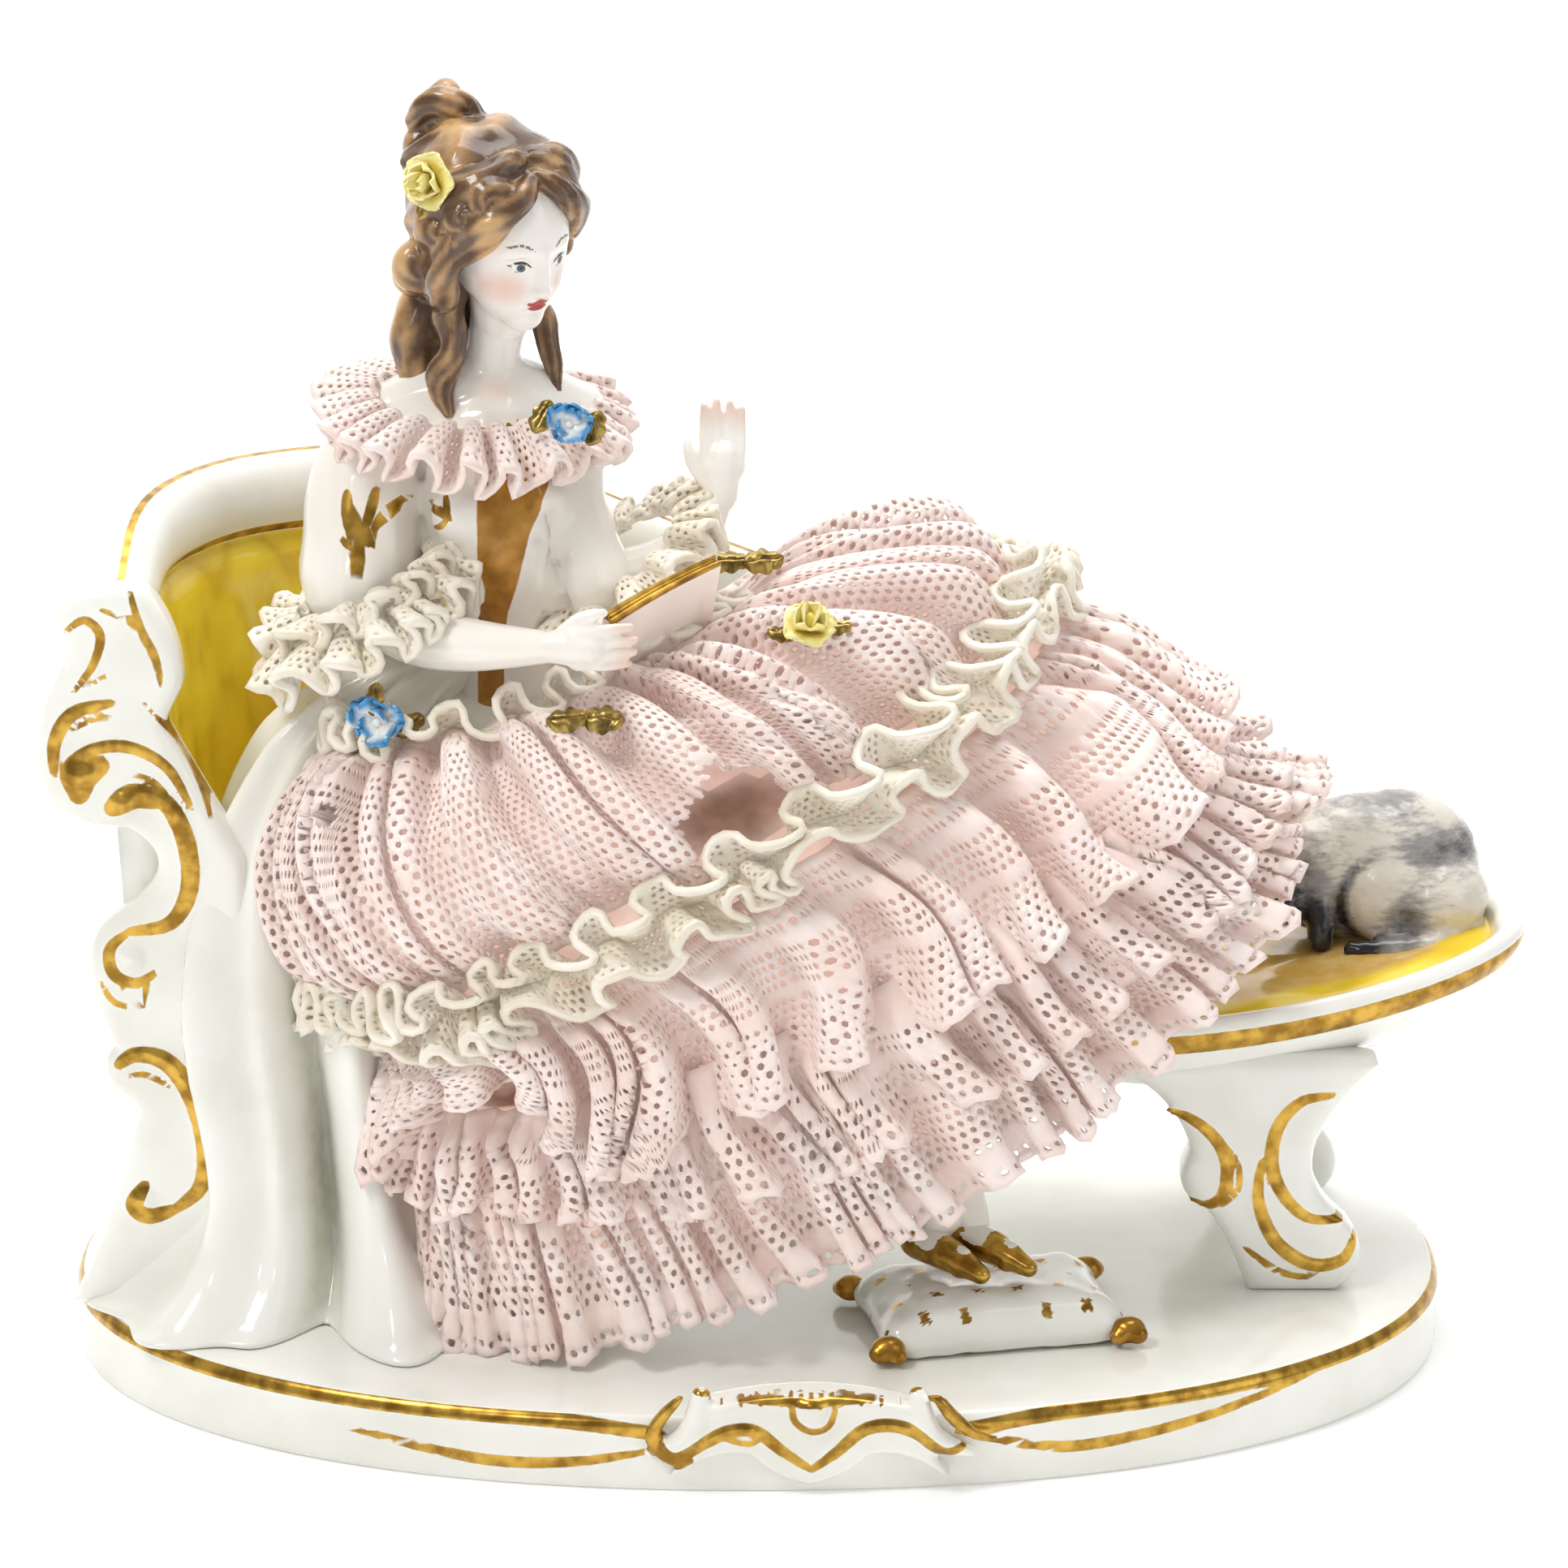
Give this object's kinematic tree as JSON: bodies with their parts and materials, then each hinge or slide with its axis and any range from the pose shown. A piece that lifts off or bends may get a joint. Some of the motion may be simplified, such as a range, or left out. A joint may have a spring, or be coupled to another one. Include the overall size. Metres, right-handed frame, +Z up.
{
  "type": "porcelain lace figurine",
  "caption": "Porcelain figurine of a lady in tiered pink lace reading on a scrolled settee, with a sleeping cat, on an oval plinth.",
  "frame": {"origin": "middle of the plinth's flat underside", "axes": "+X to the viewer's right along the settee, +Y to the back, +Z up; the lady faces the front, -Y"},
  "size_m": [0.2313, 0.1412, 0.2032],
  "materials": {
    "glazed_porcelain": "clear gloss glaze over white porcelain, gilt lines",
    "painted_figure": "gloss glaze over hand-painted hair, face and bodice",
    "painted_cat": "gloss glaze, grey and black brushwork",
    "pink_lace": "bisque-like porcelain net, tinted pink",
    "cream_lace": "bisque-like porcelain net, cream",
    "yellow_flower": "gloss glaze over hand-rolled petals",
    "blue_flower": "gloss glaze over hand-rolled petals",
    "gilt_leaf": "burnished gilding"
  },
  "bodies": {
    "root": {"plinth": "glazed_porcelain", "settee": "glazed_porcelain", "foot_cushion": "glazed_porcelain", "book": "glazed_porcelain", "cat": "painted_cat", "lady": "painted_figure", "waist_frill": "cream_lace", "overskirt": "pink_lace", "cream_trim": "cream_lace", "upper_flounce": "pink_lace", "middle_flounce": "pink_lace", "lower_flounce": "pink_lace", "collar_frill": "pink_lace", "right_cuff": "cream_lace", "left_cuff": "cream_lace", "hair_rose": "yellow_flower", "collar_flower": "blue_flower", "hip_flower": "blue_flower", "skirt_rose": "yellow_flower", "lap_leaves": "gilt_leaf", "knee_leaves": "gilt_leaf"}
  },
  "joints": []
}
